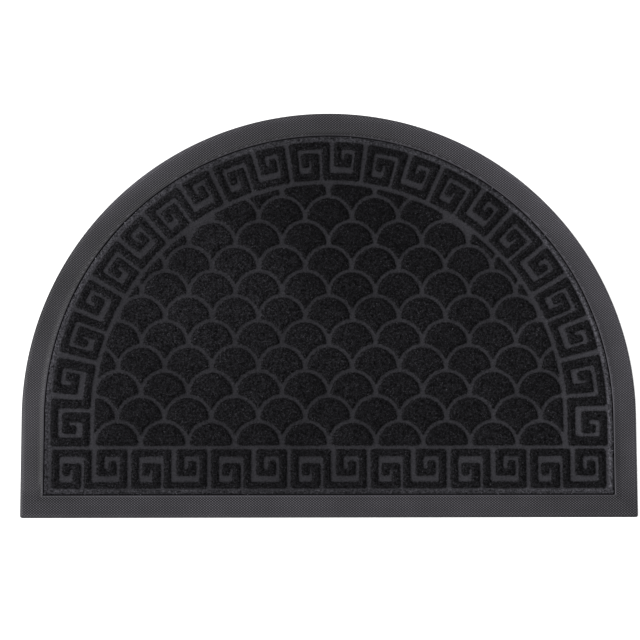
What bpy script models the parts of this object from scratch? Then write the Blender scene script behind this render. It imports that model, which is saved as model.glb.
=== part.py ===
"""Half-round doormat: a moulded rubber base with a pile carpet pressed into a raised pattern.

Units are metres with +Z up. The origin is at the middle of the mat's underside. +X runs along the
straight front edge and the arch stands towards +Y. Two pieces are made: the rubber base, a flat tray
with a sloping border, and the carpet that lies in it, one sheet with raised scales in its field and
a raised key pattern round it.
"""
import math

import bmesh
import bpy

MM = 0.001

# Plan of the whole mat: a half circle on a short straight skirt
MAT_WIDTH = 600 * MM
MAT_DEPTH = 400 * MM
MAT_RADIUS = MAT_WIDTH / 2
FRONT_EDGE_Y = -MAT_DEPTH / 2
ARCH_CENTRE_Y = FRONT_EDGE_Y + MAT_DEPTH - MAT_RADIUS
ARC_SEGMENTS = 64

# Rubber base
BORDER_WIDTH = 22.3 * MM
LIP_HEIGHT = 1.8 * MM
BORDER_HEIGHT = 4.4 * MM
RECESS_FLOOR = 2.2 * MM
RECESS_DRAFT = 0.2 * MM

# The recess, the carpet and its pattern all sit a little nearer the front edge than the outline
INLAY_SHIFT = -0.5 * MM
INLAY_CENTRE_Y = ARCH_CENTRE_Y + INLAY_SHIFT

# Carpet sheet, which lies clear of the tray's floor and wall
FLOOR_CLEARANCE = 0.3 * MM
EDGE_CLEARANCE = 0.9 * MM
CARPET_UNDERSIDE = RECESS_FLOOR + FLOOR_CLEARANCE
PRESSED_HEIGHT = 4.0 * MM
PILE_HEIGHT = 7.0 * MM

# Raised areas: upright below the pressed surface, leaning in above it
RELIEF_ROOT = 3.2 * MM
LEAN_START = 3.8 * MM
LEAN = 0.7 * MM

# Scales: each is a disc cut away by the wider rings round the two scales below it
SCALE_PITCH = 45.85 * MM
SCALE_ROW_STEP = 24.68 * MM
SCALE_ROWS = 12
SCALE_COLUMNS = 5
FIRST_ROW_Y = INLAY_CENTRE_Y - 28.4 * MM
SCALE_RADIUS = 20.55 * MM
RING_RADIUS = 24.4 * MM
CROWN_SEGMENTS = 10
FLANK_SEGMENTS = 3

# Field that holds the scales
FIELD_RADIUS = 228.25 * MM
FIELD_FRONT_Y = INLAY_CENTRE_Y - 29.6 * MM
SMALLEST_FRAGMENT = 35 * MM * MM
NARROWEST_FRAGMENT = 3.2 * MM
SHORTEST_EDGE = 1.6 * MM

# Key band: the front row is straight and the rest follows the arch
FRONT_BAND_LOW_Y = INLAY_CENTRE_Y - 71.05 * MM
FRONT_BAND_HIGH_Y = INLAY_CENTRE_Y - 33.4 * MM
FRONT_PAIR_LENGTH = 77.55 * MM
FRONT_PAIRS = 7
ARCH_BAND_INNER_RADIUS = 232.95 * MM
ARCH_BAND_OUTER_RADIUS = 270.9 * MM
ARCH_MIDDLE_RADIUS = 250.9 * MM
ARCH_STEP = 13 * MM

# Where the pairs of the arch meet, measured along the band's middle line from the crown
ARCH_PAIR_ENDS = [mm * MM for mm in (
    -427.1, -338.0, -261.6, -186.7, -112.5, -38.7, 34.8, 108.5, 183.4, 260.2, 336.1, 427.1)]

# One pair of spirals is a single strip. Each stroke has its heading and its two edges, as a share
# of the pair's length for upright strokes and of the band's width for level ones.
KEY_STROKES = (
    # heading, front low, front high, arch low, arch high
    ("up", 0.161, 0.257, 0.168, 0.262),
    ("right", 0.509, 0.641, 0.548, 0.705),
    ("down", 0.290, 0.392, 0.297, 0.401),
    ("left", 0.000, 0.155, 0.000, 0.180),
    ("up", 0.026, 0.118, 0.033, 0.126),
    ("right", 0.826, 1.000, 0.820, 1.000),
    ("down", 0.432, 0.522, 0.449, 0.543),
    ("right", 0.000, 0.155, 0.000, 0.180),
    ("up", 0.880, 0.970, 0.872, 0.967),
    ("left", 0.826, 1.000, 0.820, 1.000),
    ("down", 0.591, 0.681, 0.604, 0.693),
    ("right", 0.325, 0.483, 0.352, 0.535),
    ("up", 0.739, 0.835, 0.742, 0.833),
)
FRONT_STRIP_START = 0.325
FRONT_STRIP_END = 0.707
ARCH_STRIP_START = 0.352
ARCH_STRIP_END = 0.705


def clear_scene():
    """Start from an empty file."""
    for existing in list(bpy.data.objects):
        bpy.data.objects.remove(existing, do_unlink=True)


def make_material(name, colour, roughness):
    """A plain surface with a colour and a roughness."""
    material = bpy.data.materials.new(name)
    material.use_nodes = True
    shader = material.node_tree.nodes["Principled BSDF"]
    shader.inputs["Base Color"].default_value = (*colour, 1.0)
    shader.inputs["Roughness"].default_value = roughness
    shader.inputs["Metallic"].default_value = 0.0
    material.diffuse_color = (*colour, 1.0)
    return material


def make_object(name, bm, collection, material=None):
    """Turn a finished bmesh into a named object of a collection."""
    bmesh.ops.recalc_face_normals(bm, faces=bm.faces)
    mesh = bpy.data.meshes.new(name)
    bm.to_mesh(mesh)
    bm.free()
    if material:
        mesh.materials.append(material)
    made = bpy.data.objects.new(name, mesh)
    collection.objects.link(made)
    return made


def half_round(radius, front_y, centre_y):
    """Plan of a half circle on a skirt, anticlockwise from the left end of the front edge."""
    angles = [math.pi * step / ARC_SEGMENTS for step in range(ARC_SEGMENTS + 1)]
    arc = [(radius * math.cos(a), centre_y + radius * math.sin(a)) for a in angles]
    return [(-radius, front_y), (radius, front_y)] + arc


def add_plan(bm, points, height):
    """A level face with the given plan."""
    return bm.faces.new([bm.verts.new((x, y, height)) for x, y in points])


def thicken(bm, faces, rise):
    """Raise a copy of the level faces, with walls between, and return the raised faces."""
    grown = bmesh.ops.extrude_face_region(bm, geom=faces)["geom"]
    corners = [item for item in grown if isinstance(item, bmesh.types.BMVert)]
    bmesh.ops.translate(bm, verts=corners, vec=(0, 0, rise))
    return [item for item in grown if isinstance(item, bmesh.types.BMFace)]


def step_in(bm, faces, inwards, upwards):
    """Draw the edges of raised faces in while moving the faces up, or down if negative."""
    bm.normal_update()
    bmesh.ops.inset_individual(bm, faces=faces, thickness=inwards, depth=upwards,
                               use_even_offset=True)


def make_rubber_base(collection):
    """A flat tray: a sloping border round a shallow recess for the carpet."""
    bm = bmesh.new()
    underside = add_plan(bm, half_round(MAT_RADIUS, FRONT_EDGE_Y, ARCH_CENTRE_Y), 0)
    top = thicken(bm, [underside], LIP_HEIGHT)
    step_in(bm, top, BORDER_WIDTH, BORDER_HEIGHT - LIP_HEIGHT)
    bmesh.ops.translate(bm, verts=top[0].verts[:], vec=(0, INLAY_SHIFT, 0))
    step_in(bm, top, RECESS_DRAFT, RECESS_FLOOR - BORDER_HEIGHT)
    material = make_material("moulded_rubber", (0.056, 0.054, 0.061), 0.55)
    return make_object("rubber_base", bm, collection, material)


def arc_points(centre, radius, start, end, segments):
    """Points along a round stretch, both ends included."""
    angles = [start + (end - start) * step / segments for step in range(segments + 1)]
    return [(centre[0] + radius * math.cos(a), centre[1] + radius * math.sin(a)) for a in angles]


def scale_plan(centre_x, centre_y):
    """A scale: a round crown, and two hollow flanks that meet in a point at the foot."""
    ring_x = SCALE_PITCH / 2
    ring_y = -SCALE_ROW_STEP
    apart = math.hypot(ring_x, ring_y)
    bearing = math.atan2(ring_y, ring_x)
    half_lens = (SCALE_RADIUS ** 2 - RING_RADIUS ** 2 + apart ** 2) / (2 * apart)
    tip_angle = bearing + math.acos(half_lens / SCALE_RADIUS)
    tip_x = SCALE_RADIUS * math.cos(tip_angle)
    tip_y = SCALE_RADIUS * math.sin(tip_angle)
    foot_y = ring_y + math.sqrt(RING_RADIUS ** 2 - ring_x ** 2)
    flank_start = math.atan2(foot_y - ring_y, -ring_x)
    flank_end = math.atan2(tip_y - ring_y, tip_x - ring_x)
    crown = arc_points((0, 0), SCALE_RADIUS, tip_angle, math.pi - tip_angle, CROWN_SEGMENTS)
    flank = arc_points((ring_x, ring_y), RING_RADIUS, flank_start, flank_end, FLANK_SEGMENTS)
    far_flank = [(-x, y) for x, y in reversed(flank)]
    plan = crown + far_flank[1:] + flank[1:-1]
    return [(centre_x + x, centre_y + y) for x, y in plan]


def trim_to_field(bm):
    """Cut the scales off along the field's edge and drop the smallest remnants."""
    rim = half_round(FIELD_RADIUS, FIELD_FRONT_Y, INLAY_CENTRE_Y)
    for (x0, y0), (x1, y1) in zip(rim, rim[1:] + rim[:1]):
        outward = (y1 - y0, x0 - x1, 0)
        bmesh.ops.bisect_plane(bm, geom=bm.verts[:] + bm.edges[:] + bm.faces[:],
                               plane_co=(x0, y0, RELIEF_ROOT), plane_no=outward,
                               clear_outer=True)
    bmesh.ops.dissolve_degenerate(bm, dist=SHORTEST_EDGE, edges=bm.edges[:])
    remnants = []
    for face in bm.faces:
        mean_width = 4 * face.calc_area() / face.calc_perimeter()
        if face.calc_area() < SMALLEST_FRAGMENT or mean_width < NARROWEST_FRAGMENT:
            remnants.append(face)
    bmesh.ops.delete(bm, geom=remnants, context="FACES")


def add_scales(bm):
    """Rows of scales across the field, every second row shifted by half a pitch."""
    for row in range(SCALE_ROWS):
        shift = SCALE_PITCH / 2 if row % 2 == 0 else 0
        for column in range(-SCALE_COLUMNS, SCALE_COLUMNS + 1):
            centre_x = column * SCALE_PITCH + shift
            centre_y = FIRST_ROW_Y + row * SCALE_ROW_STEP
            add_plan(bm, scale_plan(centre_x, centre_y), RELIEF_ROOT)
    trim_to_field(bm)


def sides_of(stroke):
    """The edges of a stroke, the one on its left hand first."""
    heading, low, high = stroke
    return (low, high) if heading in ("up", "left") else (high, low)


def strip_plan(strokes, start, end):
    """Anticlockwise outline of a strip whose strokes turn at right angles, as shares along and across.

    The first and the last stroke both head up, and end at the given shares across the band.
    """
    left_corners = []
    right_corners = []
    for first, second in zip(strokes, strokes[1:]):
        upright, level = (first, second) if first[0] in ("up", "down") else (second, first)
        upright_left, upright_right = sides_of(upright)
        level_left, level_right = sides_of(level)
        left_corners.append((upright_left, level_left))
        right_corners.append((upright_right, level_right))
    start_left, start_right = sides_of(strokes[0])
    end_left, end_right = sides_of(strokes[-1])
    outward_side = [(start_right, start)] + right_corners + [(end_right, end)]
    return_side = [(end_left, end)] + left_corners[::-1] + [(start_left, start)]
    return outward_side + return_side


def on_arch(distance, radius):
    """A place on the arch band: along its middle line from the crown, and out from its centre."""
    quarter = ARCH_MIDDLE_RADIUS * math.pi / 2
    angle = max(-quarter, min(quarter, distance)) / ARCH_MIDDLE_RADIUS
    below_arch = max(0.0, abs(distance) - quarter)
    return radius * math.sin(angle), INLAY_CENTRE_Y + radius * math.cos(angle) - below_arch


def divide_edges(points, longest):
    """The same outline with extra points, so that no edge runs further along than the given length."""
    divided = []
    for (s0, r0), (s1, r1) in zip(points, points[1:] + points[:1]):
        parts = max(1, math.ceil(abs(s1 - s0) / longest))
        for part in range(parts):
            share = part / parts
            divided.append((s0 + (s1 - s0) * share, r0 + (r1 - r0) * share))
    return divided


def add_front_keys(bm):
    """The straight row of spiral pairs along the front edge."""
    strokes = [(heading, low, high) for heading, low, high, _, _ in KEY_STROKES]
    plan = strip_plan(strokes, FRONT_STRIP_START, FRONT_STRIP_END)
    band_width = FRONT_BAND_HIGH_Y - FRONT_BAND_LOW_Y
    for pair in range(FRONT_PAIRS):
        start_x = (pair - FRONT_PAIRS / 2) * FRONT_PAIR_LENGTH
        placed = [(start_x + along * FRONT_PAIR_LENGTH, FRONT_BAND_LOW_Y + across * band_width)
                  for along, across in plan]
        add_plan(bm, placed, RELIEF_ROOT)


def add_arch_keys(bm):
    """The spiral pairs that follow the arch, the last on each side running onto the skirt."""
    strokes = [(heading, low, high) for heading, _, _, low, high in KEY_STROKES]
    plan = strip_plan(strokes, ARCH_STRIP_START, ARCH_STRIP_END)
    band_width = ARCH_BAND_OUTER_RADIUS - ARCH_BAND_INNER_RADIUS
    for start, end in zip(ARCH_PAIR_ENDS, ARCH_PAIR_ENDS[1:]):
        unrolled = [(start + along * (end - start), ARCH_BAND_INNER_RADIUS + across * band_width)
                    for along, across in plan]
        placed = [on_arch(distance, radius) for distance, radius in divide_edges(unrolled, ARCH_STEP)]
        add_plan(bm, placed, RELIEF_ROOT)


def make_relief(collection):
    """Every raised area as a loose block, which the carpet takes in as a union."""
    bm = bmesh.new()
    add_scales(bm)
    add_front_keys(bm)
    add_arch_keys(bm)
    tops = thicken(bm, bm.faces[:], LEAN_START - RELIEF_ROOT)
    step_in(bm, tops, LEAN, PILE_HEIGHT - LEAN_START)
    relief = make_object("carpet_relief_blocks", bm, collection)
    relief.hide_render = True
    relief.display_type = "WIRE"
    return relief


def make_carpet(collection, relief):
    """One carpet sheet with the raised areas joined to it."""
    recess_inset = BORDER_WIDTH + RECESS_DRAFT + EDGE_CLEARANCE
    front_y = FRONT_EDGE_Y + recess_inset + INLAY_SHIFT
    bm = bmesh.new()
    underside = add_plan(bm, half_round(MAT_RADIUS - recess_inset, front_y, INLAY_CENTRE_Y),
                         CARPET_UNDERSIDE)
    thicken(bm, [underside], PRESSED_HEIGHT - CARPET_UNDERSIDE)
    material = make_material("pressed_pile_carpet", (0.013, 0.013, 0.014), 0.95)
    carpet = make_object("pile_carpet", bm, collection, material)
    joining = carpet.modifiers.new("raised_pattern", "BOOLEAN")
    joining.operation = "UNION"
    joining.solver = "EXACT"
    joining.object = relief
    return carpet


def make_doormat():
    """Build both pieces in a collection of their own, with the loose blocks in another."""
    clear_scene()
    pieces = bpy.data.collections.new("half_round_doormat")
    blocks = bpy.data.collections.new("union_blocks")
    bpy.context.scene.collection.children.link(pieces)
    bpy.context.scene.collection.children.link(blocks)
    make_rubber_base(pieces)
    make_carpet(pieces, make_relief(blocks))


make_doormat()
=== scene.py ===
"""Looks of the half-round doormat: the moulded rubber base and the embossed pile carpet in it.

Units are metres, +Z up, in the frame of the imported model: the origin is at the middle of the mat's
underside and the straight front edge runs along X. Both nodes are replaced by finer meshes of the
same form: the base gets its diamond knurl, and the carpet its soft relief and a coat of tufts.
"""
import math

import bmesh
import bpy
import numpy as np
from mathutils import Matrix, Vector
from mathutils.geometry import delaunay_2d_cdt
from mathutils.kdtree import KDTree


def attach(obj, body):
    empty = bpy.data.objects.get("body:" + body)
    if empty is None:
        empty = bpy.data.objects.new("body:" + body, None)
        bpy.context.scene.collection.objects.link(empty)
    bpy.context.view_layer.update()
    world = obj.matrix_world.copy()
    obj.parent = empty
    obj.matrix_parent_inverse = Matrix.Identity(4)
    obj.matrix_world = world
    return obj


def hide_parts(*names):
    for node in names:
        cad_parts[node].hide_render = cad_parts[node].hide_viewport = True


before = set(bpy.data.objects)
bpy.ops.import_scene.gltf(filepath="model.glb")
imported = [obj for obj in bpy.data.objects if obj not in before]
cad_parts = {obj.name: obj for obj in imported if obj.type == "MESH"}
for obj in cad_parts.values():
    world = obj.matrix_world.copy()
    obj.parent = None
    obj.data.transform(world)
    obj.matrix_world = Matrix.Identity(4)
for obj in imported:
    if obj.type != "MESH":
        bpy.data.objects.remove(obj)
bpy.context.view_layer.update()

MM = 0.001
RANDOM_SEED = 20

# Plan of the mat, the same values as in the solids
MAT_WIDTH = 600 * MM
MAT_DEPTH = 400 * MM
MAT_RADIUS = MAT_WIDTH / 2
FRONT_EDGE_Y = -MAT_DEPTH / 2
ARCH_CENTRE_Y = FRONT_EDGE_Y + MAT_DEPTH - MAT_RADIUS
BORDER_WIDTH = 22.3 * MM
RECESS_DRAFT = 0.2 * MM
EDGE_CLEARANCE = 0.9 * MM
RECESS_FLOOR = 2.2 * MM
CARPET_UNDERSIDE = 2.5 * MM
PRESSED_HEIGHT = 4.0 * MM
CARPET_INSET = BORDER_WIDTH + RECESS_DRAFT + EDGE_CLEARANCE
INLAY_SHIFT = -0.5 * MM
INLAY_CENTRE_Y = ARCH_CENTRE_Y + INLAY_SHIFT
OUTLINE_SEGMENTS = 360

# Scales
SCALE_PITCH = 45.85 * MM
SCALE_ROW_STEP = 24.68 * MM
SCALE_ROWS = 12
SCALE_COLUMNS = 5
FIRST_ROW_Y = INLAY_CENTRE_Y - 28.4 * MM
SCALE_RADIUS = 20.55 * MM
RING_RADIUS = 24.4 * MM
CROWN_SEGMENTS = 28
FLANK_SEGMENTS = 10
FIELD_RADIUS = 228.25 * MM
FIELD_FRONT_Y = INLAY_CENTRE_Y - 29.6 * MM
FIELD_RIM_SEGMENTS = 128
SMALLEST_FRAGMENT = 35 * MM * MM
NARROWEST_FRAGMENT = 3.2 * MM

# Key band
FRONT_BAND_LOW_Y = INLAY_CENTRE_Y - 71.05 * MM
FRONT_BAND_HIGH_Y = INLAY_CENTRE_Y - 33.4 * MM
FRONT_PAIR_LENGTH = 77.55 * MM
FRONT_PAIRS = 7
ARCH_BAND_INNER_RADIUS = 232.95 * MM
ARCH_BAND_OUTER_RADIUS = 270.9 * MM
ARCH_MIDDLE_RADIUS = 250.9 * MM
ARCH_STEP = 2 * MM
ARCH_PAIR_ENDS = [mm * MM for mm in (
    -427.1, -338.0, -261.6, -186.7, -112.5, -38.7, 34.8, 108.5, 183.4, 260.2, 336.1, 427.1)]
KEY_STROKES = (
    # heading, front low, front high, arch low, arch high
    ("up", 0.161, 0.257, 0.168, 0.262),
    ("right", 0.509, 0.641, 0.548, 0.705),
    ("down", 0.290, 0.392, 0.297, 0.401),
    ("left", 0.000, 0.155, 0.000, 0.180),
    ("up", 0.026, 0.118, 0.033, 0.126),
    ("right", 0.826, 1.000, 0.820, 1.000),
    ("down", 0.432, 0.522, 0.449, 0.543),
    ("right", 0.000, 0.155, 0.000, 0.180),
    ("up", 0.880, 0.970, 0.872, 0.967),
    ("left", 0.826, 1.000, 0.820, 1.000),
    ("down", 0.591, 0.681, 0.604, 0.693),
    ("right", 0.325, 0.483, 0.352, 0.535),
    ("up", 0.739, 0.835, 0.742, 0.833),
)
FRONT_STRIP_START = 0.325
FRONT_STRIP_END = 0.707
ARCH_STRIP_START = 0.352
ARCH_STRIP_END = 0.705

# Relief of the carpet: rise above the pressed surface by distance inside a raised outline
OUTLINE_SPACING = 1.6 * MM
TRACE_SPACING = 0.4 * MM
FEWEST_POINTS = 8
KEY_CORNER_BLUNTING = 5.0 * MM
SCALE_CORNER_BLUNTING = 4.0 * MM
RELIEF_RINGS = [mm * MM for mm in (-0.9, -0.2, 0.5, 1.2, 2.1)]
RING_TOLERANCE = 0.12 * MM
RING_EDGE_GAP = 0.5 * MM
RELIEF_DISTANCES = [mm * MM for mm in (-1.8, -0.9, -0.2, 0.5, 1.2, 2.1, 3.1, 4.4)]
RELIEF_RISES = [mm * MM for mm in (0.0, 0.08, 0.3, 0.75, 1.4, 2.1, 2.5, 2.7)]
GROUND_SPACING = 2.6 * MM
GROUND_CLEARANCE = 1.3 * MM
GROUND_EDGE_GAP = 4.2 * MM
INNER_CLEARANCE = 3.0 * MM
CARPET_CREASE = math.radians(62)
MARGIN_LINE_GAP = 0.9 * MM
MARGIN_DISTANCES = [mm * MM for mm in (0.0, 0.5, 1.2, 2.0, 2.8, 3.6, 4.4)]
MARGIN_RISES = [mm * MM for mm in (-0.2, 0.4, 0.9, 1.15, 0.95, 0.4, 0.0)]

# Gentle unevenness of the pressed carpet
UNEVENNESS = 0.12 * MM
UNEVEN_LENGTH = 9 * MM
UNEVEN_PHASE = 0.7
RIPPLE_WAVES = (3.3, 2.9)
RIPPLE_BENDS = (1.7, 2.1)
RIPPLE_TWIST = 0.8

# Blender's triangulation: its mode that fills the outlines only, and how near points merge
FILL_OUTLINES = 1
MERGE_DISTANCE = 1e-7

# Pressed pile turns to standing pile over this stretch of a raised area's edge
PILE_EDGE_DISTANCES = [mm * MM for mm in (-1.5, -1.0, -0.5, 0.0, 0.5)]
PILE_EDGE_SHARES = (0.0, 0.15, 0.5, 0.85, 1.0)

# Paleness of the pressed pile: painted light across the mat and in two corners; also by the cut edge and
# in the field
PALENESS_PLACES = [mm * MM for mm in (-290, -200, -60, 60, 200, 290)]
PALENESS = (1.26, 1.0, 0.97, 1.0, 1.13, 1.62)
# Two painted highlights near the ends of the arch.
HIGHLIGHT_PATCHES = (
    # across the mat, from front to back, radius, change
    (-255 * MM, -108 * MM, 28 * MM, 0.35),
    (262 * MM, -118 * MM, 45 * MM, 0.2),
)
# Paler along the bead by the cut edge: partly its own tone, partly painted light on the steep edge.
EDGE_PALENESS_DISTANCES = [mm * MM for mm in (0.0, 1.6, 2.6, 3.4, 4.2, 5.2)]
EDGE_PALENESS = (1.2, 1.05, 1.15, 1.4, 1.3, 1.0)
FIELD_PALENESS = 0.88
FIELD_EDGE_REACH = 4 * MM

# Painted light on the margin along the cut edge: its paleness by bearing from the middle of the arch, in
# degrees
MARGIN_BEARINGS = (-160, -140, -90, -45, -15, 0, 25, 45, 65, 80, 105, 120, 135, 150, 165, 180)
MARGIN_PAINTED_LIGHT = (0.9, 0.8, 0.8, 0.8, 1.0, 0.9, 1.2, 1.1, 1.0, 0.95, 0.95, 1.2, 1.35, 1.5, 1.25, 0.9)
MARGIN_REACH = [mm * MM for mm in (3.5, 5.5)]
MARGIN_LIVELINESS = 0.9

# Painted sheen on the standing pile, by place across the mat and from front to back, and in soft patches
SHEEN_PLACES_X = [mm * MM for mm in (-290, -220, -160, 0, 180, 290)]
PILE_SHEEN_X = (1.3, 1.2, 1.1, 1.0, 1.0, 1.1)
SHEEN_PLACES_Y = [mm * MM for mm in (-170, -100, 0, 160)]
PILE_SHEEN_Y = (0.94, 0.96, 1.03, 1.02)
SHEEN_PATCHES = (
    # across the mat, from front to back, radius, change
    (-90 * MM, -2 * MM, 82 * MM, 0.3),
    (15 * MM, 85 * MM, 82 * MM, -0.3),
    (-190 * MM, 112 * MM, 70 * MM, 0.25),
)

# Tufts of the pile
TUFT_SPACING = 0.98 * MM
TUFT_MARGIN = -0.1 * MM
TUFT_SCATTER = 0.38
TUFT_RADIUS = 0.48 * MM
TUFT_RADIUS_RANGE = (0.8, 1.2)
TUFT_LENGTH = 1.35 * MM
TUFT_LENGTH_RANGE = (0.7, 1.15)
LOW_TUFT_SHARE = 0.45
TUFT_ROOT = 0.35 * MM
TUFT_LEAN = 0.32
TUFTS_PER_PIECE = 48000
EDGE_TUFT_START = 0.1 * MM
EDGE_TUFT_REACH = 2.6 * MM
EDGE_TUFT_DISTANCES = [mm * MM for mm in (0.0, 0.5, 1.4, 2.6)]
EDGE_TUFT_SHARES = (0.1, 0.3, 0.4, 0.0)
EDGE_LEAN_REACH = 1.0 * MM
EDGE_LEAN = 0.9 * MM
SLOPE_STEP = 0.1 * MM
LEAST_SLOPE = 1e-9

# Rubber: height of the border's top by distance from the outer edge, and the knurl on it
LIP_DISTANCES = [mm * MM for mm in (0.0, 0.25, 0.8, 1.6, 6.0, 12.0, 16.5, 22.3)]
LIP_HEIGHTS = [mm * MM for mm in (1.0, 1.6, 2.1, 2.35, 2.7, 3.05, 3.45, 4.4)]
RIM_DISTANCES = [mm * MM for mm in (0.0, 0.35, 0.9, 2.0)]
RIM_DROPS = [mm * MM for mm in (0.4, 0.14, 0.0, 0.0)]
MAT_CORNER_BLUNTING = 5 * MM
KNURL_WIDTH = 2.97 * MM
KNURL_DEPTH = 2.38 * MM
KNURL_HEIGHT = 0.5 * MM
KNURL_FROM_EDGE = 1.0 * MM
KNURL_FROM_RIM = 1.2 * MM
MEAN_CREST = 0.5
RIM_KNURL_SHARE = 0.25
FAINT_KNURL_REACH = 6.5 * MM
FAINT_KNURL_PLACES = [mm * MM for mm in (180, 260)]
FAINT_KNURL_SHARE = 0.75
FRONT_RIM_KNURL_DISTANCES = [mm * MM for mm in (1.2, 3.0)]
FRONT_RIM_KNURL_SHARE = 0.4
SMOOTH_CREST = 0.42
EDGE_CREST_REACH = 5 * MM
EDGE_CREST = 0.05
# Painted shade on the border near the recess.
RIM_SHADE_DISTANCES = [mm * MM for mm in (1.5, 7.0)]
RIM_SHADE_DROP = 0.09
# A painted highlight along the rim of the recess, varying across the mat, and painted shade along it in
# front.
RIM_HIGHLIGHT_WIDTH = 0.8 * MM
RIM_HIGHLIGHT_PLACES = [mm * MM for mm in (60, 150, 200, 250, 282)]
RIM_HIGHLIGHTS = (0.15, 0.08, 0.0, 0.0, 0.32)
FRONT_RIM_SHADE = 0.16
LIP_KNURL_DISTANCES = [mm * MM for mm in (1.2, 3.6)]
LIP_KNURL_SHARE = 0.1
# Painted shade on the lip and the outer sides.
LIP_SHADE_DISTANCES = [mm * MM for mm in (1.2, 3.0)]
LIP_SHADE_DROP = 0.2

# Mesh of the rubber: spacing of its rounded edges and of its recess, and what counts as one place
RUBBER_LINE_SPACING = 1.7 * MM
RECESS_SPACING = 16 * MM
RECESS_EDGE_GAP = 6 * MM
SAME_PLACE = 0.01 * MM
RUBBER_CREASE = math.radians(24)

# Painted sheen on the rubber by bearing from the middle of the arch, in degrees anticlockwise from the
# right
SHEEN_BEARINGS = (-170, -160, -120, -60, -30, -20, -8, 8, 25, 40, 50, 65, 88, 110, 128,
                  140, 153, 168, 180)
PAINTED_SHEEN = (-0.05, 0.02, 0.03, 0.01, 0.01, -0.02, -0.03, 0.02, 0.04, 0.05, 0.1, 0.02, -0.07, -0.03, 0.04,
         -0.03, -0.11, -0.05, 0.0)

# Painted light across the border: how much paler the rubber is at its outer edge than mid-border, by
# bearing
SLOPE_BEARINGS = (-170, -160, -20, -10, 5, 20, 45, 60, 90, 112, 130, 145, 160, 175)
PAINTED_LIGHT_SLOPES = (0.08, -0.03, -0.03, 0.05, 0.02, 0.04, 0.05, 0.07, 0.08, 0.08, 0.14, 0.05, -0.03, 0.01)

# Rubber surface: base tones as reflected shares of light, and how far they vary about 1
RUBBER_TINT = (1, 0.955, 1.11)
RUBBER_ROUGHNESS = 0.52
RUBBER_SPECULAR = 0.3
# The groove tone is painted shade: the knurl's grooves are drawn almost black.
RUBBER_GROOVE_SHADE = 0.002
RUBBER_CREST = 0.137
CREST_RANGE = (0.1, 0.8)
BLOOM_SIZE = 35 * MM
BLOOM_SPREAD = 0.12
GRAIN_SIZE = 0.45 * MM
GRAIN_SPREAD = 0.15
GRAIN_DEPTH = 0.05 * MM
GRAIN_BUMP = 0.6
# The recess tone is painted shade for the dark gap under the carpet's edge, darker still in front.
RECESS_SHADE_TONE = 0.014
RECESS_ROUGHNESS = 0.9
RECESS_SPECULAR = 0.05
DUST_SIZE = 2.5 * MM
DUST_SPREAD = 0.3
FRONT_RECESS_SHADE = 0.45
FRONT_RECESS_REACH = [mm * MM for mm in (1, 3)]

# Pile surface, with the same kinds of numbers
PILE_TINT = (1, 0.98, 1.12)
PRESSED_TONE = 0.0285
STANDING_TONE = 0.0108
PILE_ROUGHNESS = 0.95
PILE_SPECULAR = 0.08
DRIFT_SIZE = 60 * MM
DRIFT_SPREAD = 0.15
CLUMP_SIZE = 1.9 * MM
CLUMP_DEPTH = 0.15 * MM
CLUMP_BUMP = 0.8
STRAND_SIZE = 0.8 * MM
LIVELY_CLUMPS = 0.9
LIVELY_STRANDS = 0.8
CALM_CLUMPS = 0.25
CALM_STRANDS = 0.4
# The tufts' own tones; the few near the top of the range are painted glints.
TUFT_TONES_AND_GLINTS = (0.35, 5.8)

# Noise: octaves of the coarse and the fine kind, and the range that most of its values fill
COARSE_OCTAVES = 2
FINE_OCTAVES = 3
NOISE_RANGE = (0.3, 0.7)

# Studio
SURROUND_STRENGTH = 0.5
SUN_STRENGTH = 2.6
SUN_ELEVATION = math.radians(52)
SUN_BEARING = math.radians(180)
SUN_SPREAD = math.radians(30)
SUN_DISTANCE = 2
FLOOR_REACH = 40.0
FLOOR_DROP = 0.2 * MM
FLOOR_TONE = 0.92
FLOOR_ROUGHNESS = 0.9
FLOOR_GLOW = 0.5

# Photograph's camera: where it stands and what it aims at
CAMERA_PLACE = Vector((-8.38 * MM, -246.7 * MM, 1985.53 * MM))
CAMERA_TARGET = Vector((-8.38 * MM, -6.58 * MM, 0.0))
CAMERA_ROLL = math.radians(-0.0962)
CAMERA_LENS_MM = 114.50
SENSOR_MM = 36.0


def half_round(radius, front_y, centre_y, segments):
    """Plan of a half circle on a skirt, anticlockwise from the left end of the front edge."""
    angles = [math.pi * step / segments for step in range(segments + 1)]
    arc = [(radius * math.cos(a), centre_y + radius * math.sin(a)) for a in angles]
    return [(-radius, front_y), (radius, front_y)] + arc


def mat_outline(inset, shift=0.0):
    """The mat's plan drawn in on all sides, and moved towards the front by a negative shift."""
    radius = MAT_RADIUS - inset
    front_y = FRONT_EDGE_Y + inset + shift
    return np.array(half_round(radius, front_y, ARCH_CENTRE_Y + shift, OUTLINE_SEGMENTS))


def inside_outline(points, inset=0.0, shift=0.0):
    """Distance of each point inwards from that plan's edge, negative outside it."""
    radius = MAT_RADIUS - inset
    x, y = points[:, 0], points[:, 1] - shift
    above = radius - np.hypot(x, y - ARCH_CENTRE_Y)
    below = radius - np.abs(x)
    return np.minimum(np.where(y > ARCH_CENTRE_Y, above, below), y - FRONT_EDGE_Y - inset)


def arc_points(centre, radius, start, end, segments):
    """Points along a round stretch, both ends included."""
    angles = [start + (end - start) * step / segments for step in range(segments + 1)]
    return [(centre[0] + radius * math.cos(a), centre[1] + radius * math.sin(a)) for a in angles]


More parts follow.
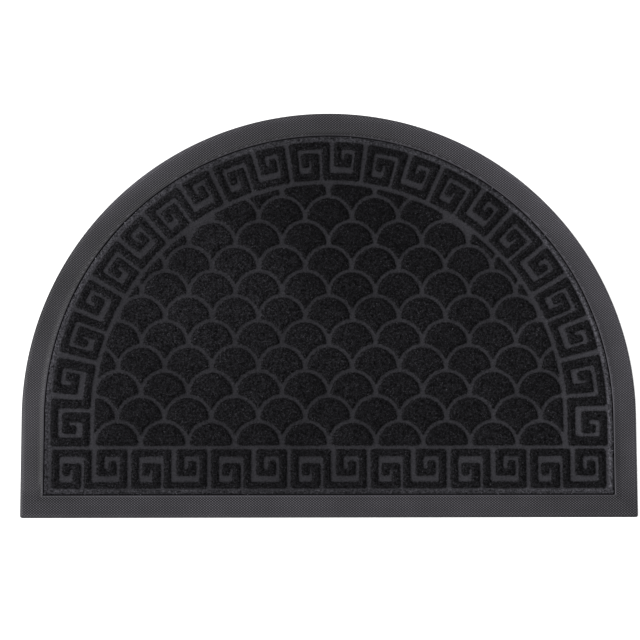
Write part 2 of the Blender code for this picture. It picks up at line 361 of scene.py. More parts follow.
def scale_plan():
    """A scale about its own centre: a round crown, and two hollow flanks that meet at the foot."""
    ring_x = SCALE_PITCH / 2
    ring_y = -SCALE_ROW_STEP
    apart = math.hypot(ring_x, ring_y)
    bearing = math.atan2(ring_y, ring_x)
    half_lens = (SCALE_RADIUS ** 2 - RING_RADIUS ** 2 + apart ** 2) / (2 * apart)
    tip_angle = bearing + math.acos(half_lens / SCALE_RADIUS)
    tip_x = SCALE_RADIUS * math.cos(tip_angle)
    tip_y = SCALE_RADIUS * math.sin(tip_angle)
    foot_y = ring_y + math.sqrt(RING_RADIUS ** 2 - ring_x ** 2)
    flank_start = math.atan2(foot_y - ring_y, -ring_x)
    flank_end = math.atan2(tip_y - ring_y, tip_x - ring_x)
    crown = arc_points((0, 0), SCALE_RADIUS, tip_angle, math.pi - tip_angle, CROWN_SEGMENTS)
    flank = arc_points((ring_x, ring_y), RING_RADIUS, flank_start, flank_end, FLANK_SEGMENTS)
    far_flank = [(-x, y) for x, y in reversed(flank)]
    return crown + far_flank[1:] + flank[1:-1]


def scale_outlines():
    """Every scale that shows in the field, cut off along the field's edge."""
    bm = bmesh.new()
    plan = scale_plan()
    for row in range(SCALE_ROWS):
        shift = SCALE_PITCH / 2 if row % 2 == 0 else 0
        for column in range(-SCALE_COLUMNS, SCALE_COLUMNS + 1):
            centre_x = column * SCALE_PITCH + shift
            centre_y = FIRST_ROW_Y + row * SCALE_ROW_STEP
            bm.faces.new([bm.verts.new((centre_x + x, centre_y + y, 0)) for x, y in plan])
    rim = half_round(FIELD_RADIUS, FIELD_FRONT_Y, INLAY_CENTRE_Y, FIELD_RIM_SEGMENTS)
    for (x0, y0), (x1, y1) in zip(rim, rim[1:] + rim[:1]):
        bmesh.ops.bisect_plane(bm, geom=bm.verts[:] + bm.edges[:] + bm.faces[:],
                               plane_co=(x0, y0, 0), plane_no=(y1 - y0, x0 - x1, 0),
                               clear_outer=True)
    outlines = []
    for face in bm.faces:
        mean_width = 4 * face.calc_area() / face.calc_perimeter()
        if face.calc_area() >= SMALLEST_FRAGMENT and mean_width >= NARROWEST_FRAGMENT:
            outlines.append(np.array([vert.co[:2] for vert in face.verts]))
    bm.free()
    return outlines


def sides_of(stroke):
    """The edges of a stroke, the one on its left hand first."""
    heading, low, high = stroke
    return (low, high) if heading in ("up", "left") else (high, low)


def strip_plan(strokes, start, end):
    """Anticlockwise outline of a strip whose strokes turn at right angles, in shares."""
    left_corners = []
    right_corners = []
    for first, second in zip(strokes, strokes[1:]):
        upright, level = (first, second) if first[0] in ("up", "down") else (second, first)
        upright_left, upright_right = sides_of(upright)
        level_left, level_right = sides_of(level)
        left_corners.append((upright_left, level_left))
        right_corners.append((upright_right, level_right))
    start_left, start_right = sides_of(strokes[0])
    end_left, end_right = sides_of(strokes[-1])
    outward_side = [(start_right, start)] + right_corners + [(end_right, end)]
    return_side = [(end_left, end)] + left_corners[::-1] + [(start_left, start)]
    return outward_side + return_side


def on_arch(distance, radius):
    """A place on the arch band: along its middle line from the crown, and out from its centre."""
    quarter = ARCH_MIDDLE_RADIUS * math.pi / 2
    angle = max(-quarter, min(quarter, distance)) / ARCH_MIDDLE_RADIUS
    below_arch = max(0.0, abs(distance) - quarter)
    return radius * math.sin(angle), INLAY_CENTRE_Y + radius * math.cos(angle) - below_arch


def divide_edges(points, longest):
    """The same outline with extra points, so that no edge is longer than the given length."""
    divided = []
    for (s0, r0), (s1, r1) in zip(points, points[1:] + points[:1]):
        parts = max(1, math.ceil(math.hypot(s1 - s0, r1 - r0) / longest))
        for part in range(parts):
            share = part / parts
            divided.append((s0 + (s1 - s0) * share, r0 + (r1 - r0) * share))
    return divided


def key_outlines():
    """The spiral pairs of the straight front row, and those that follow the arch."""
    outlines = []
    front_strokes = [(heading, low, high) for heading, low, high, _, _ in KEY_STROKES]
    plan = strip_plan(front_strokes, FRONT_STRIP_START, FRONT_STRIP_END)
    band_width = FRONT_BAND_HIGH_Y - FRONT_BAND_LOW_Y
    for pair in range(FRONT_PAIRS):
        start_x = (pair - FRONT_PAIRS / 2) * FRONT_PAIR_LENGTH
        outlines.append(np.array([
            (start_x + along * FRONT_PAIR_LENGTH, FRONT_BAND_LOW_Y + across * band_width)
            for along, across in plan]))
    arch_strokes = [(heading, low, high) for heading, _, _, low, high in KEY_STROKES]
    plan = strip_plan(arch_strokes, ARCH_STRIP_START, ARCH_STRIP_END)
    band_width = ARCH_BAND_OUTER_RADIUS - ARCH_BAND_INNER_RADIUS
    for start, end in zip(ARCH_PAIR_ENDS, ARCH_PAIR_ENDS[1:]):
        unrolled = [(start + along * (end - start), ARCH_BAND_INNER_RADIUS + across * band_width)
                    for along, across in plan]
        placed = [on_arch(distance, radius) for distance, radius in divide_edges(unrolled, ARCH_STEP)]
        outlines.append(np.array(placed)[::-1])
    return outlines


def enclosed_area(loop):
    """Signed area inside a closed outline, positive if it runs anticlockwise."""
    x, y = loop[:, 0], loop[:, 1]
    return 0.5 * np.sum(x * np.roll(y, -1) - y * np.roll(x, -1))


def respaced(loop, spacing):
    """A closed outline with evenly spaced points."""
    closed = np.vstack([loop, loop[:1]])
    travelled = np.concatenate([[0], np.cumsum(np.hypot(*np.diff(closed, axis=0).T))])
    count = max(FEWEST_POINTS, round(travelled[-1] / spacing))
    stations = np.linspace(0, travelled[-1], count, endpoint=False)
    return np.column_stack([np.interp(stations, travelled, closed[:, axis]) for axis in (0, 1)])


def blunted(loop, width):
    """A closed outline, anticlockwise, finely spaced and averaged over a width to round corners."""
    trace = respaced(loop if enclosed_area(loop) > 0 else loop[::-1], TRACE_SPACING)
    reach = max(1, round(width / TRACE_SPACING / 2))
    return sum(np.roll(trace, step, axis=0) for step in range(-reach, reach + 1)) / (2 * reach + 1)


def outward_normals(loop):
    """Unit vectors that point out of an anticlockwise outline."""
    along = np.roll(loop, -1, axis=0) - np.roll(loop, 1, axis=0)
    along /= np.hypot(along[:, 0], along[:, 1])[:, None]
    return np.column_stack([along[:, 1], -along[:, 0]])


class Relief:
    """The raised outlines of the carpet, and the distance of any point to the nearest one."""

    def __init__(self, outlines):
        self.outlines = outlines
        self.points = np.vstack(outlines)
        self.normals = np.vstack([outward_normals(outline) for outline in outlines])
        self.tree = KDTree(len(self.points))
        for index, (x, y) in enumerate(self.points):
            self.tree.insert((x, y, 0), index)
        self.tree.balance()

    def depth(self, points):
        """Distance inside the raised outlines, negative on the pressed ground between them."""
        nearest = [self.tree.find((x, y, 0)) for x, y in points]
        index = np.array([found[1] for found in nearest])
        distance = np.array([found[2] for found in nearest])
        outside = np.sum((points - self.points[index]) * self.normals[index], axis=1)
        return np.where(outside > 0, -distance, distance)


def ripple(points):
    """A gentle unevenness between -1 and 1 with no straight lines in it."""
    x, y = points[:, 0] / UNEVEN_LENGTH, points[:, 1] / UNEVEN_LENGTH
    wave_x, wave_y = RIPPLE_WAVES
    bend_x, bend_y = RIPPLE_BENDS
    warp = np.sin(bend_y * y + UNEVEN_PHASE) + np.sin(bend_x * x - UNEVEN_PHASE)
    return np.sin(wave_x * x + warp) * np.cos(wave_y * y - RIPPLE_TWIST * warp + UNEVEN_PHASE)


def triangulate(loops, points):
    """Triangles over everything inside the first loop, with every loop kept as edges."""
    coordinates = [loop for loop, _ in loops] + [points]
    edges = []
    first = 0
    for loop, links in loops:
        edges += [(first + start, first + end) for start, end in links]
        first += len(loop)
    flat = [Vector(point) for point in np.vstack(coordinates)]
    made, _, triangles, _, _, _ = delaunay_2d_cdt(flat, edges, [], FILL_OUTLINES, MERGE_DISTANCE)
    return np.array([point[:] for point in made]), triangles


def closed_links(count):
    """Edges round a closed loop of points."""
    return [(index, (index + 1) % count) for index in range(count)]


def boundary_of(triangles):
    """The outer edge of a triangulated surface, as one chain of point numbers."""
    following = {}
    for triangle in triangles:
        for start, end in zip(triangle, triangle[1:] + triangle[:1]):
            following[start, end] = end
    open_edges = {start: end for start, end in following if (end, start) not in following}
    chain = [min(open_edges)]
    while open_edges[chain[-1]] != chain[0]:
        chain.append(open_edges[chain[-1]])
    return chain


def set_tone(mesh, name, values):
    """Keep one number a point on a mesh, for its material to read."""
    tone = mesh.attributes.new(name, "FLOAT", "POINT")
    tone.data.foreach_set("value", np.asarray(values, dtype=np.float32))


def make_piece(name, points, faces, material, crease):
    """A smooth-shaded mesh piece that stays crisp where its faces meet at more than the crease."""
    mesh = bpy.data.meshes.new(name)
    mesh.from_pydata(points, [], faces)
    mesh.materials.append(material)
    mesh.shade_smooth()
    mesh.set_sharp_from_angle(angle=crease)
    piece = bpy.data.objects.new(name, mesh)
    bpy.context.scene.collection.objects.link(piece)
    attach(piece, "root")
    return piece


def make_slab(name, flat_points, triangles, heights, underside, material, crease):
    """A closed slab: the given top, an upright side and a level underside."""
    triangles = [tuple(triangle) for triangle in triangles]
    rim = boundary_of(triangles)
    top = np.column_stack([flat_points, heights])
    foot = np.column_stack([flat_points[rim], np.full(len(rim), underside)])
    base = len(top)
    count = len(rim)
    side = [(rim[(step + 1) % count], rim[step], base + step, base + (step + 1) % count)
            for step in range(count)]
    bottom = tuple(base + step for step in reversed(range(count)))
    points = np.vstack([top, foot]).tolist()
    return make_piece(name, points, triangles + side + [bottom], material, crease)


def bearing_of(points):
    """Bearing from the middle of the arch, in degrees anticlockwise from the right."""
    return np.degrees(np.arctan2(points[:, 1] - ARCH_CENTRE_Y, points[:, 0]))


def hex_grid(spacing):
    """Evenly spread points over the whole mat."""
    row_step = spacing * math.sqrt(3) / 2
    rows = np.arange(FRONT_EDGE_Y, FRONT_EDGE_Y + MAT_DEPTH, row_step)
    columns = np.arange(-MAT_WIDTH / 2, MAT_WIDTH / 2, spacing)
    x, y = np.meshgrid(columns, rows)
    x = x + np.where(np.arange(len(rows)) % 2, spacing / 2, 0)[:, None]
    return np.column_stack([x.ravel(), y.ravel()])


def carpet_edge_depth(points):
    """Distance in from the carpet's cut edge."""
    return inside_outline(points, CARPET_INSET, INLAY_SHIFT)


def standing_share(depth):
    """How much of the pile stands, from none on pressed ground to all of it on raised areas."""
    return np.interp(depth, PILE_EDGE_DISTANCES, PILE_EDGE_SHARES)


def soft_patches(points, patches):
    """The sum of round patches at each point, each strongest in its middle."""
    total = np.zeros(len(points))
    for x, y, radius, change in patches:
        away = np.hypot(points[:, 0] - x, points[:, 1] - y)
        total += change * np.exp(-(away / radius) ** 2)
    return total


def pressed_light_and_tone(points):
    """How pale the pressed pile is at each point, 1 for its mean tone, with painted light by place."""
    # Painted light across the mat, and two painted highlights.
    across = np.interp(points[:, 0], PALENESS_PLACES, PALENESS) + soft_patches(points, HIGHLIGHT_PATCHES)
    at_edge = np.interp(carpet_edge_depth(points), EDGE_PALENESS_DISTANCES, EDGE_PALENESS)
    in_field = inside_outline(points, MAT_RADIUS - FIELD_RADIUS, INLAY_SHIFT)
    in_field = np.minimum(in_field, points[:, 1] - FIELD_FRONT_Y)
    in_margin = np.interp(carpet_edge_depth(points), MARGIN_REACH, (1, 0))
    # Painted light on the margin, by bearing.
    margin = np.interp(bearing_of(points), MARGIN_BEARINGS, MARGIN_PAINTED_LIGHT, period=360)
    field = np.interp(in_field, (-FIELD_EDGE_REACH, FIELD_EDGE_REACH), (1, FIELD_PALENESS))
    return across * at_edge * field * (1 + in_margin * (margin - 1))


def painted_pile_sheen(points):
    """How pale the standing pile is at each point, 1 for its mean tone: a painted sheen."""
    across = np.interp(points[:, 0], SHEEN_PLACES_X, PILE_SHEEN_X)
    return across * np.interp(points[:, 1], SHEEN_PLACES_Y, PILE_SHEEN_Y) + soft_patches(points, SHEEN_PATCHES)


def pile_light_and_tone(points, raised):
    """The brightness of the pile against its mean tone, wherever it stands or lies, with painted light and
    sheen.
    """
    return pressed_light_and_tone(points) * (1 - raised) + painted_pile_sheen(points) * raised


def liveliness(points, raised):
    """How much the tone varies from strand to strand: most on standing pile and along the cut edge."""
    at_edge = np.interp(carpet_edge_depth(points), MARGIN_REACH, (MARGIN_LIVELINESS, 0))
    return np.maximum(raised, at_edge)


def carpet_height(points, depth):
    """Height of the carpet's surface under its tufts."""
    relief = np.interp(depth, RELIEF_DISTANCES, RELIEF_RISES)
    margin = np.interp(carpet_edge_depth(points), MARGIN_DISTANCES, MARGIN_RISES)
    margin = margin * (1 - relief / RELIEF_RISES[-1])
    return PRESSED_HEIGHT + relief + margin + UNEVENNESS * ripple(points)


def make_carpet(relief, material):
    """The carpet as one closed sheet, with rings of points that round every raised outline."""
    rim = respaced(mat_outline(CARPET_INSET, INLAY_SHIFT), OUTLINE_SPACING)
    loops = [(rim, closed_links(len(rim)))]
    for outline in relief.outlines:
        outline = respaced(outline, OUTLINE_SPACING)
        normals = outward_normals(outline)
        for ring in RELIEF_RINGS:
            moved = outline - normals * ring
            distance = relief.depth(moved)
            clear = np.abs(distance - ring) < RING_TOLERANCE
            clear &= carpet_edge_depth(moved) > RING_EDGE_GAP
            kept = np.flatnonzero(clear)
            place = {old: new for new, old in enumerate(kept)}
            links = [(place[a], place[b]) for a, b in closed_links(len(outline))
                     if a in place and b in place]
            loops.append((moved[kept], links))
    for inset in MARGIN_DISTANCES[1:]:
        line = respaced(mat_outline(CARPET_INSET + inset, INLAY_SHIFT), OUTLINE_SPACING)
        loops.append((line[relief.depth(line) < -MARGIN_LINE_GAP], []))
    grid = hex_grid(GROUND_SPACING)
    grid = grid[carpet_edge_depth(grid) > GROUND_EDGE_GAP]
    depth = relief.depth(grid)
    grid = grid[(depth < -GROUND_CLEARANCE) | (depth > INNER_CLEARANCE)]
    flat_points, triangles = triangulate(loops, grid)
    heights = carpet_height(flat_points, relief.depth(flat_points))
    carpet = make_slab("embossed_carpet", flat_points, triangles, heights, CARPET_UNDERSIDE, material,
                       CARPET_CREASE)
    raised = np.zeros(len(carpet.data.vertices))
    raised[:len(flat_points)] = standing_share(relief.depth(flat_points))
    # The cut edge's upright side is dark like standing pile, partly its own tone and partly painted shade
    # in the gap.
    raised[len(flat_points):] = 1
    set_tone(carpet.data, "raised", raised)
    # Painted light and sheen by place, and how lively the tone is.
    for name, tone in (("light_and_tone_share", pile_light_and_tone), ("lively", liveliness)):
        values = np.ones(len(carpet.data.vertices))
        values[:len(flat_points)] = tone(flat_points, raised[:len(flat_points)])
        set_tone(carpet.data, name, values)
    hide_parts("pile_carpet")
    return carpet


def outward_directions(points):
    """Unit vectors from each point towards the nearest cut edge of the carpet."""
    here = carpet_edge_depth(points)
    slope = np.column_stack([here - carpet_edge_depth(points + (SLOPE_STEP, 0)),
                             here - carpet_edge_depth(points + (0, SLOPE_STEP))])
    return slope / np.maximum(np.hypot(slope[:, 0], slope[:, 1]), LEAST_SLOPE)[:, None]


def make_tufts(relief, material):
    """Short spikes of pile that stand close together on every raised area and along the cut edge."""
    chance = np.random.default_rng(RANDOM_SEED)
    roots = hex_grid(TUFT_SPACING)
    roots = roots + chance.uniform(-TUFT_SCATTER, TUFT_SCATTER, roots.shape) * TUFT_SPACING
    depth = relief.depth(roots)
    edge_depth = carpet_edge_depth(roots)
    standing = (depth > TUFT_MARGIN) & (edge_depth > EDGE_TUFT_REACH)
    on_edge = (edge_depth > EDGE_TUFT_START) & (edge_depth <= EDGE_TUFT_REACH) & (depth < 0)
    kept = standing | on_edge
    roots, depth, edge_depth = roots[kept], depth[kept], edge_depth[kept]
    count = len(roots)
    raised = np.where(edge_depth > EDGE_TUFT_REACH, standing_share(depth),
                      np.interp(edge_depth, EDGE_TUFT_DISTANCES, EDGE_TUFT_SHARES))
    heights = carpet_height(roots, depth) - TUFT_ROOT
    turn = chance.uniform(0, 2 * math.pi, count)
    radius = TUFT_RADIUS * chance.uniform(*TUFT_RADIUS_RANGE, count)
    length = TUFT_LENGTH * chance.uniform(*TUFT_LENGTH_RANGE, count)
    length = length * (LOW_TUFT_SHARE + (1 - LOW_TUFT_SHARE) * raised)
    lean = chance.normal(0, TUFT_LEAN, (count, 2)) * TUFT_LENGTH
    outwards = np.interp(edge_depth, (0, EDGE_LEAN_REACH), (EDGE_LEAN, 0))[:, None]
    lean += outwards * outward_directions(roots)
    corners = []
    for third in range(3):
        angle = turn + third * 2 * math.pi / 3
        corners.append(np.column_stack([roots[:, 0] + radius * np.cos(angle),
                                        roots[:, 1] + radius * np.sin(angle), heights]))
    tips = np.column_stack([roots + lean, heights + length])
    # The tufts carry the same painted light and sheen as the carpet under them.
    tones = {"tuft_shade": chance.uniform(0, 1, count), "raised": raised,
             "light_and_tone_share": pile_light_and_tone(roots, raised), "lively": liveliness(roots, raised)}
    points = np.stack(corners + [tips], axis=1)
    pieces = []
    for first in range(0, count, TUFTS_PER_PIECE):
        part = points[first:first + TUFTS_PER_PIECE]
        base = 4 * np.arange(len(part))[:, None]
        faces = np.concatenate([base + np.array(corner) for corner in
                                ((0, 1, 3), (1, 2, 3), (2, 0, 3), (2, 1, 0))])
        name = f"pile_tufts_{len(pieces) + 1}"
        mesh = bpy.data.meshes.new(name)
        mesh.from_pydata(part.reshape(-1, 3), [], faces.tolist())
        mesh.materials.append(material)
        for tone, values in tones.items():
            set_tone(mesh, tone, np.repeat(values[first:first + TUFTS_PER_PIECE], 4))
        piece = bpy.data.objects.new(name, mesh)
        bpy.context.scene.collection.objects.link(piece)
        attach(piece, "root")
        pieces.append(piece)
    return pieces


def across_border(points):
    """Distances in from the mat's outer edge, and out from the edge of the recess."""
    from_edge = inside_outline(points)
    to_recess = -inside_outline(points, BORDER_WIDTH, INLAY_SHIFT)
    return from_edge, to_recess


def knurl_share(points):
    """How strong the knurl is: full in front, weaker at the sides, and faint at the lip and the rim."""
    from_edge, to_recess = across_border(points)
    faded = np.interp(to_recess, (0, FAINT_KNURL_REACH), (RIM_KNURL_SHARE, 1))
    faded = faded * np.interp(np.abs(points[:, 0]), FAINT_KNURL_PLACES, (1, FAINT_KNURL_SHARE))
    front = np.interp(points[:, 1], (FRONT_EDGE_Y + BORDER_WIDTH, FRONT_EDGE_Y + 2 * BORDER_WIDTH), (1, 0))
    front = front * np.interp(to_recess, FRONT_RIM_KNURL_DISTANCES, (FRONT_RIM_KNURL_SHARE, 1))
    return np.maximum(faded, front) * np.interp(from_edge, LIP_KNURL_DISTANCES, (LIP_KNURL_SHARE, 1))


def rubber_tone_and_light(points, crest):
    """How pale the rubber is, painted light and shade: by knurl crests, across the border, round the mat.
    """
    from_edge, to_recess = across_border(points)
    # Painted shade: the knurl's grooves darker than its crests.
    tone = SMOOTH_CREST + (crest - MEAN_CREST) * knurl_share(points)
    tone = tone + np.interp(from_edge, (0, EDGE_CREST_REACH), (EDGE_CREST, 0))
    # Painted shade near the recess.
    tone = tone - np.interp(to_recess, RIM_SHADE_DISTANCES, (RIM_SHADE_DROP, 0))
    # Painted shade at the lip.
    tone = tone - np.interp(from_edge, LIP_SHADE_DISTANCES, (LIP_SHADE_DROP, 0))
    # A painted highlight along the rim, and painted shade along it in front.
    rim_highlight = np.interp(np.abs(points[:, 0]), RIM_HIGHLIGHT_PLACES, RIM_HIGHLIGHTS)
    rim_highlight = np.where(points[:, 1] < FRONT_EDGE_Y + BORDER_WIDTH, -FRONT_RIM_SHADE, rim_highlight)
    tone = tone + rim_highlight * np.interp(to_recess, (0, RIM_HIGHLIGHT_WIDTH), (1, 0))
    bearing = bearing_of(points)
    # Painted light across the border, by bearing.
    slope = np.interp(bearing, SLOPE_BEARINGS, PAINTED_LIGHT_SLOPES, period=360)
    tone = tone + slope * (1 - 2 * from_edge / BORDER_WIDTH)
    # Painted sheen round the mat, by bearing.
    return tone + np.interp(bearing, SHEEN_BEARINGS, PAINTED_SHEEN, period=360)


def border_height(points, crest):
    """Height of the rubber's top, with the knurl's crests raised by the given share."""
    from_edge, to_recess = across_border(points)
    border = np.interp(from_edge, LIP_DISTANCES, LIP_HEIGHTS)
    border = border - np.interp(to_recess, RIM_DISTANCES, RIM_DROPS)
    border = border + KNURL_HEIGHT * crest * knurl_share(points)
    wall = np.interp(-to_recess, (0, RECESS_DRAFT), (0, 1))
    return border * (1 - wall) + RECESS_FLOOR * wall


def knurl_lattice():
    """Points of the knurl, which of them lie low, and the groove lines that join the low ones."""
    half_width = KNURL_WIDTH / 2
    half_depth = KNURL_DEPTH / 2
    columns = np.arange(-round(MAT_RADIUS / half_width), round(MAT_RADIUS / half_width) + 1)
    rows = np.arange(0, round(MAT_DEPTH / half_depth) + 1)
    column, row = (axis.ravel() for axis in np.meshgrid(columns, rows))
    lattice = np.column_stack([column * half_width, FRONT_EDGE_Y + row * half_depth])
    from_edge, to_recess = across_border(lattice)
    knurled = (from_edge > KNURL_FROM_EDGE) & (to_recess > KNURL_FROM_RIM)
    column, row, lattice = column[knurled], row[knurled], lattice[knurled]
    low = (column + row) % 2 == 0
    place = {(c, r): index for index, (c, r) in enumerate(zip(column.tolist(), row.tolist()))}
    grooves = []
    for (c, r), index in place.items():
        if (c + r) % 2 == 0:
            grooves += [(index, place[c + step, r + 1]) for step in (-1, 1) if (c + step, r + 1) in place]
    return lattice, low, grooves


def crest_shares(points, lattice, low):
    """The knurl at each point: 1 on its crests, 0 in its grooves and the mean elsewhere."""
    crest_tree = KDTree(len(lattice))
    for index, (x, y) in enumerate(lattice):
        crest_tree.insert((x, y, 0), index)
    crest_tree.balance()
    crest = np.full(len(points), MEAN_CREST)
    for index, (x, y) in enumerate(points):
        _, nearest, distance = crest_tree.find((x, y, 0))
        if distance < SAME_PLACE:
            crest[index] = 0.0 if low[nearest] else 1.0
    return crest


def make_rubber(material):
    """The rubber tray: a rounded lip, a border of small moulded diamonds and a shallow recess."""
    loops = []
    lines = [blunted(mat_outline(inset), MAT_CORNER_BLUNTING) for inset in LIP_DISTANCES[:3]]
    lines += [mat_outline(BORDER_WIDTH - inset, INLAY_SHIFT) for inset in RIM_DISTANCES[2::-1]]
    lines.append(mat_outline(BORDER_WIDTH + RECESS_DRAFT, INLAY_SHIFT))
    for line in lines:
        line = respaced(line, RUBBER_LINE_SPACING)
        loops.append((line, closed_links(len(line))))
    lattice, low, grooves = knurl_lattice()
    loops.append((lattice, grooves))
    floor = hex_grid(RECESS_SPACING)
    floor = floor[inside_outline(floor) > BORDER_WIDTH + RECESS_EDGE_GAP]
    flat_points, triangles = triangulate(loops, floor)
    crest = crest_shares(flat_points, lattice, low)
    heights = border_height(flat_points, crest)
    rubber = make_slab("knurled_rubber_base", flat_points, triangles, heights, 0.0, material,
                       RUBBER_CREASE)
    in_recess = across_border(flat_points)[1] < SAME_PLACE
    # The recess faces take a darker material: painted shade under the carpet's edge.
    rubber.data.materials.append(shaded_recess_material())
    for polygon in rubber.data.polygons:
        if all(corner < len(flat_points) and in_recess[corner] for corner in polygon.vertices):
            polygon.material_index = 1
    tone = rubber_tone_and_light(flat_points, crest)
    below = len(rubber.data.vertices) - len(flat_points)
    # The upright sides take the lip's painted shade.
    shaded_side_tone = SMOOTH_CREST - LIP_SHADE_DROP
    set_tone(rubber.data, "knurl_tone_and_painted_light", np.concatenate([tone, np.full(below, shaded_side_tone)]))
    # Painted shade in the recess, darkest along the front.
    from_front = flat_points[:, 1] - FRONT_EDGE_Y - BORDER_WIDTH
    recess_lit = np.interp(from_front, FRONT_RECESS_REACH, (FRONT_RECESS_SHADE, 1))
    set_tone(rubber.data, "recess_lit_share", np.concatenate([recess_lit, np.ones(below)]))
    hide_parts("rubber_base")


class Surface:
    """A node material under construction."""

    def __init__(self, name, roughness, specular):
        self.material = bpy.data.materials.new(name)
        self.material.use_nodes = True
        self.tree = self.material.node_tree
        self.shader = self.tree.nodes["Principled BSDF"]
        self.shader.inputs["Roughness"].default_value = roughness
        self.shader.inputs["Specular IOR Level"].default_value = specular
        self.place = self.add("ShaderNodeTexCoord").outputs["Object"]

    def add(self, kind, **settings):
        """A node, with its own settings."""
        node = self.tree.nodes.new(kind)
        for setting, value in settings.items():
            setattr(node, setting, value)
        return node

    def fill(self, socket, value):
        """Link a socket to another node's output, or set it."""
        if isinstance(value, bpy.types.NodeSocket):
            self.tree.links.new(value, socket)
        else:
            socket.default_value = value

    def tone(self, name):
        """A number that the mesh keeps for each of its points."""
        return self.add("ShaderNodeAttribute", attribute_name=name).outputs["Fac"]

    def noise(self, grain, octaves):
        """Cloudy noise about 0.5, with features of the given size."""
        node = self.add("ShaderNodeTexNoise")
        self.fill(node.inputs["Vector"], self.place)
        node.inputs["Scale"].default_value = 1 / grain
        node.inputs["Detail"].default_value = octaves
        return node.outputs["Fac"]

    def remap(self, value, from_low, from_high, to_low, to_high):
        """A number moved from one range to another, and kept in it."""
        node = self.add("ShaderNodeMapRange")
        for name, setting in (("Value", value), ("From Min", from_low), ("From Max", from_high),
                              ("To Min", to_low), ("To Max", to_high)):
            self.fill(node.inputs[name], setting)
        return node.outputs["Result"]

    def varied(self, noise, spread):
        """A number that follows noise, about 1 and at most the spread away from it."""
        return self.remap(noise, *NOISE_RANGE, 1 - spread, 1 + spread)

    def times(self, first, second):
        """The product of two numbers."""
        node = self.add("ShaderNodeMath", operation="MULTIPLY")
        self.fill(node.inputs[0], first)
        self.fill(node.inputs[1], second)
        return node.outputs["Value"]

    def mix(self, share, first, second):
        """One colour turning into another."""
        node = self.add("ShaderNodeMix", data_type="RGBA")
        self.fill(node.inputs["Factor"], share)
        self.fill(node.inputs[6], first)
        self.fill(node.inputs[7], second)
        return node.outputs[2]

    def shaded(self, colour, strength):
        """A colour made darker or lighter by a number."""
        node = self.add("ShaderNodeVectorMath", operation="SCALE")
        self.fill(node.inputs[0], colour)
        self.fill(node.inputs["Scale"], strength)
        return node.outputs["Vector"]

    def bump(self, height, distance, strength):
        """Let a number raise the surface by the given distance in its shading."""
        node = self.add("ShaderNodeBump")
        node.inputs["Distance"].default_value = distance
        node.inputs["Strength"].default_value = strength
        self.fill(node.inputs["Height"], height)
        self.fill(self.shader.inputs["Normal"], node.outputs["Normal"])


def tinted(level, tint):
    """A grey of the given level with a trace of colour."""
    return tuple(level * share for share in tint) + (1,)


def rubber_material():
    """Black moulded rubber: paler on the knurl's crests, painted shade in its grooves, a faint bloom and a
    fine grain.
    """
    surface = Surface("moulded_rubber", RUBBER_ROUGHNESS, RUBBER_SPECULAR)
    # The tone it reads holds painted shade in the knurl's grooves and painted light and sheen by place.
    sharp_crest = surface.remap(surface.tone("knurl_tone_and_painted_light"), *CREST_RANGE, 0, 1)
    colour = surface.mix(sharp_crest, tinted(RUBBER_GROOVE_SHADE, RUBBER_TINT),
                         tinted(RUBBER_CREST, RUBBER_TINT))
    bloom = surface.varied(surface.noise(BLOOM_SIZE, FINE_OCTAVES), BLOOM_SPREAD)
    grain = surface.noise(GRAIN_SIZE, FINE_OCTAVES)
    brightness = surface.times(bloom, surface.varied(grain, GRAIN_SPREAD))
    surface.fill(surface.shader.inputs["Base Color"], surface.shaded(colour, brightness))
    surface.bump(grain, GRAIN_DEPTH, GRAIN_BUMP)
    return surface.material


def shaded_recess_material():
    """The dull rubber of the recess, in painted shade under the carpet's edge, and darkest in front."""
    surface = Surface("shaded_recess_rubber", RECESS_ROUGHNESS, RECESS_SPECULAR)
    dust = surface.varied(surface.noise(DUST_SIZE, FINE_OCTAVES), DUST_SPREAD)
    brightness = surface.times(dust, surface.tone("recess_lit_share"))
    surface.fill(surface.shader.inputs["Base Color"],
                 surface.shaded(tinted(RECESS_SHADE_TONE, RUBBER_TINT)[:3], brightness))
    return surface.material


def pile_colour(surface):
    """Black where the pile stands and grey where it is pressed down, both slightly uneven, with painted
    light by place.
    """
    raised = surface.tone("raised")
    colour = surface.mix(raised, tinted(PRESSED_TONE, PILE_TINT), tinted(STANDING_TONE, PILE_TINT))
    drift = surface.varied(surface.noise(DRIFT_SIZE, COARSE_OCTAVES), DRIFT_SPREAD)
    clumps = surface.noise(CLUMP_SIZE, FINE_OCTAVES)
    strands = surface.noise(STRAND_SIZE, COARSE_OCTAVES)
    lively = surface.times(surface.varied(clumps, LIVELY_CLUMPS), surface.varied(strands, LIVELY_STRANDS))
    calm = surface.times(surface.varied(clumps, CALM_CLUMPS), surface.varied(strands, CALM_STRANDS))
    contrast = surface.remap(surface.tone("lively"), 0, 1, calm, lively)
    # The tone share holds painted light and sheen by place.
    brightness = surface.times(surface.tone("light_and_tone_share"), surface.times(drift, contrast))
    return surface.shaded(colour, brightness), clumps


def pile_material():
    """The carpet's face under the tufts."""
    surface = Surface("pressed_pile", PILE_ROUGHNESS, PILE_SPECULAR)
    colour, clumps = pile_colour(surface)
    surface.fill(surface.shader.inputs["Base Color"], colour)
    surface.bump(clumps, CLUMP_DEPTH, CLUMP_BUMP)
    return surface.material


def tuft_material():
    """The pile's tufts, each with its own tone at random, and a few much paler ones that are painted
    glints.
    """
    surface = Surface("pile_tufts", PILE_ROUGHNESS, PILE_SPECULAR)
    colour, _ = pile_colour(surface)
    shade = surface.tone("tuft_shade")
    fourth = surface.times(surface.times(shade, shade), surface.times(shade, shade))
    own = surface.remap(surface.times(fourth, fourth), 0, 1, *TUFT_TONES_AND_GLINTS)
    surface.fill(surface.shader.inputs["Base Color"], surface.shaded(colour, own))
    return surface.material


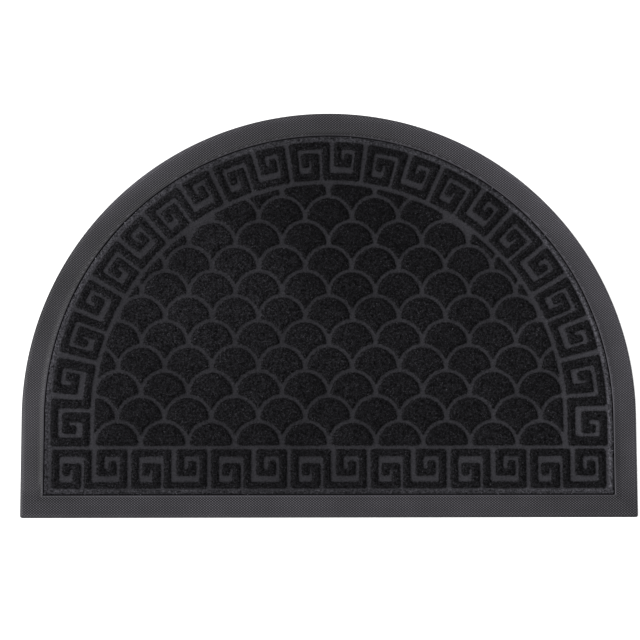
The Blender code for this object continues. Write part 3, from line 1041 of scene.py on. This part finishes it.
def make_camera():
    """The photograph's viewpoint."""
    data = bpy.data.cameras.new("photo_camera")
    data.sensor_fit = "HORIZONTAL"
    data.sensor_width = SENSOR_MM
    data.lens = CAMERA_LENS_MM
    camera = bpy.data.objects.new("photo_camera", data)
    aim = (CAMERA_TARGET - CAMERA_PLACE).to_track_quat("-Z", "Y").to_matrix().to_4x4()
    camera.matrix_world = Matrix.Translation(CAMERA_PLACE) @ aim @ Matrix.Rotation(CAMERA_ROLL, 4, "Z")
    bpy.context.scene.collection.objects.link(camera)
    bpy.context.scene.camera = camera


def make_soft_light():
    """A broad even light from the left."""
    data = bpy.data.lights.new("left_light", "SUN")
    data.energy = SUN_STRENGTH
    data.angle = SUN_SPREAD
    light = bpy.data.objects.new("left_light", data)
    towards = Vector((math.cos(SUN_ELEVATION) * math.cos(SUN_BEARING),
                      math.cos(SUN_ELEVATION) * math.sin(SUN_BEARING), math.sin(SUN_ELEVATION)))
    light.rotation_mode = "QUATERNION"
    light.rotation_quaternion = towards.to_track_quat("Z", "Y")
    light.location = SUN_DISTANCE * towards
    bpy.context.scene.collection.objects.link(light)


def make_studio():
    """A white floor and an even white surround."""
    corners = [(x * FLOOR_REACH, y * FLOOR_REACH, -FLOOR_DROP)
               for x, y in ((-1, -1), (1, -1), (1, 1), (-1, 1))]
    mesh = bpy.data.meshes.new("studio_floor")
    mesh.from_pydata(corners, [], [(0, 1, 2, 3)])
    surface = Surface("studio_floor", FLOOR_ROUGHNESS, 0.0)
    surface.fill(surface.shader.inputs["Base Color"], (FLOOR_TONE, FLOOR_TONE, FLOOR_TONE, 1))
    surface.fill(surface.shader.inputs["Emission Color"], (1, 1, 1, 1))
    surface.fill(surface.shader.inputs["Emission Strength"], FLOOR_GLOW)
    mesh.materials.append(surface.material)
    floor = bpy.data.objects.new("studio_floor", mesh)
    bpy.context.scene.collection.objects.link(floor)
    world = bpy.data.worlds.new("studio_surround")
    world.use_nodes = True
    background = world.node_tree.nodes["Background"]
    background.inputs["Color"].default_value = (1, 1, 1, 1)
    background.inputs["Strength"].default_value = SURROUND_STRENGTH
    bpy.context.scene.world = world
    bpy.context.scene.view_settings.view_transform = "Standard"


def make_doormat():
    """Build both pieces and the pile."""
    outlines = [blunted(outline, SCALE_CORNER_BLUNTING) for outline in scale_outlines()]
    outlines += [blunted(outline, KEY_CORNER_BLUNTING) for outline in key_outlines()]
    relief = Relief(outlines)
    make_rubber(rubber_material())
    carpet = make_carpet(relief, pile_material())
    tufts = make_tufts(relief, tuft_material())


make_camera()
make_studio()
make_soft_light()
make_doormat()
